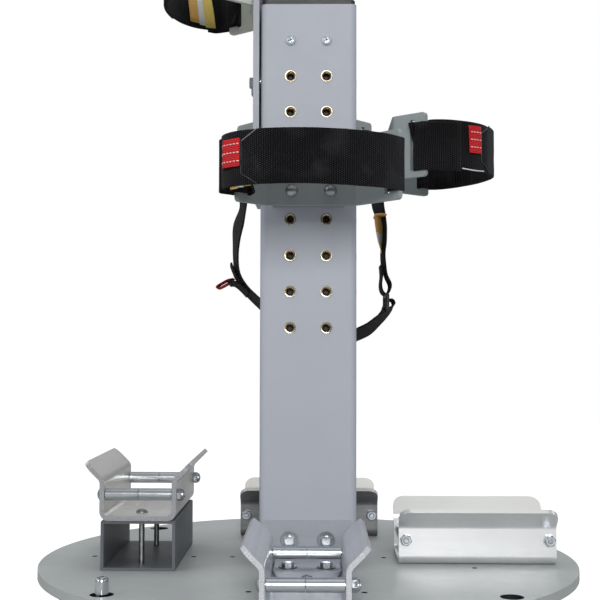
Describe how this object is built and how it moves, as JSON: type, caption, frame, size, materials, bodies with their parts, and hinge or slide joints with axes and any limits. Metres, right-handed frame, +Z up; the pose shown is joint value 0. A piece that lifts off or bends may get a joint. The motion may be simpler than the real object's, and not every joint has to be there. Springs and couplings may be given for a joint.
{
  "type": "rotating tool storage tower",
  "caption": "Turntable tower for heavy rescue tools: a square column with threaded inserts, roller cradles and webbing straps on a round plate that locks with an index pin.",
  "frame": {"origin": "on the floor, under the middle of the column", "axes": "+Z up along the column; the side with the index pin faces -Y; +X to its right"},
  "size_m": [0.5715, 0.5714, 0.7208],
  "materials": {
    "column_paint": "light blue-grey powder coat",
    "plate_paint": "light grey powder coat, dark cut edge",
    "bracket_paint": "light grey powder coat",
    "riser_paint": "dark grey powder coat",
    "cradle_aluminium": "mill finish with brushed cut edges",
    "zinc": "bright zinc plate",
    "roller_zinc": "bright zinc-plated tube",
    "pin_chrome": "polished chrome",
    "insert_metal": "zinc-nickel plated inserts",
    "cap_plastic": "black moulded plastic",
    "bearing_steel": "turned steel",
    "slide_polymer": "slide-bearing polymer",
    "spring_steel": "spring steel",
    "webbing": "black woven polyester webbing",
    "tab_red": "red webbing tab with white stitching",
    "ring_black": "black coated wire"
  },
  "bodies": {
    "base": {"floor_plate": "plate_paint", "riser_ring": "bearing_steel", "lower_race": "bearing_steel", "race_screws": "zinc"},
    "index_pin": {"index_pin": "pin_chrome"},
    "turntable": {"axle_bolts": "zinc", "axle_nuts": "zinc", "bracket_bolts": "zinc", "bracket_nuts": "zinc", "cap_screws": "zinc", "clamp_ring": "bearing_steel", "clamp_screws": "zinc", "column": "column_paint", "column_cap": "cap_plastic", "cradle_bolts": "zinc", "cradle_front": "cradle_aluminium", "cradle_left": "cradle_aluminium", "cradle_rear": "cradle_aluminium", "cradle_right": "cradle_aluminium", "extension_bolts": "zinc", "extension_plate": "bracket_paint", "extension_shims": "zinc", "foot_bolts": "zinc", "foot_bracket_front": "bracket_paint", "foot_bracket_rear": "bracket_paint", "foot_washers": "zinc", "inserts_front": "insert_metal", "inserts_left": "insert_metal", "inserts_rear": "insert_metal", "inserts_right": "insert_metal", "plunger_housing": "bearing_steel", "plunger_spring": "spring_steel", "riser_bolts": "zinc", "riser_tube": "riser_paint", "slide_liner": "slide_polymer", "spacer_front": "bracket_paint", "spacer_right": "bracket_paint", "strap_bracket_front": "bracket_paint", "strap_bracket_left": "bracket_paint", "strap_bracket_rear": "bracket_paint", "strap_bracket_right": "bracket_paint", "strap_front": "webbing", "strap_left": "webbing", "strap_rear": "webbing", "strap_right": "webbing", "strap_ring": "ring_black", "strap_tabs": "tab_red", "turntable_plate": "plate_paint", "upper_race": "bearing_steel"},
    "roller_front_inner": {"roller_front_inner": "roller_zinc"},
    "roller_front_outer": {"roller_front_outer": "roller_zinc"},
    "roller_left_front": {"roller_left_front": "roller_zinc"},
    "roller_left_rear": {"roller_left_rear": "roller_zinc"},
    "roller_rear_left": {"roller_rear_left": "roller_zinc"},
    "roller_rear_right": {"roller_rear_right": "roller_zinc"},
    "roller_right_inner": {"roller_right_inner": "roller_zinc"},
    "roller_right_outer": {"roller_right_outer": "roller_zinc"}
  },
  "joints": [
    {"name": "turntable_spin", "type": "hinge", "parent": "base", "child": "turntable", "pos_m": [0, 0, 0.0508], "axis": [0, 0, 1], "continuous": true},
    {"name": "index_pin_press", "type": "slide", "parent": "turntable", "child": "index_pin", "axis": [0, 0, -1], "range_m": [0, 0.014], "stiffness_N_per_m": 600, "springref_m": -0.012, "deforming": ["plunger_spring"]},
    {"name": "roller_front_inner_spin", "type": "hinge", "parent": "turntable", "child": "roller_front_inner", "pos_m": [0, -0.11495, 0.08632], "axis": [1, 0, 0], "continuous": true},
    {"name": "roller_front_outer_spin", "type": "hinge", "parent": "turntable", "child": "roller_front_outer", "pos_m": [0, -0.26505, 0.08632], "axis": [1, 0, 0], "continuous": true},
    {"name": "roller_left_front_spin", "type": "hinge", "parent": "turntable", "child": "roller_left_front", "pos_m": [-0.1725, -0.07505, 0.13712], "axis": [1, 0, 0], "continuous": true},
    {"name": "roller_left_rear_spin", "type": "hinge", "parent": "turntable", "child": "roller_left_rear", "pos_m": [-0.1725, 0.07505, 0.13712], "axis": [1, 0, 0], "continuous": true},
    {"name": "roller_rear_left_spin", "type": "hinge", "parent": "turntable", "child": "roller_rear_left", "pos_m": [-0.07505, 0.1725, 0.08632], "axis": [0, 1, 0], "continuous": true},
    {"name": "roller_rear_right_spin", "type": "hinge", "parent": "turntable", "child": "roller_rear_right", "pos_m": [0.07505, 0.1725, 0.08632], "axis": [0, 1, 0], "continuous": true},
    {"name": "roller_right_inner_spin", "type": "hinge", "parent": "turntable", "child": "roller_right_inner", "pos_m": [0.10295, 0, 0.08632], "axis": [0, 1, 0], "continuous": true},
    {"name": "roller_right_outer_spin", "type": "hinge", "parent": "turntable", "child": "roller_right_outer", "pos_m": [0.25305, 0, 0.08632], "axis": [0, 1, 0], "continuous": true}
  ]
}
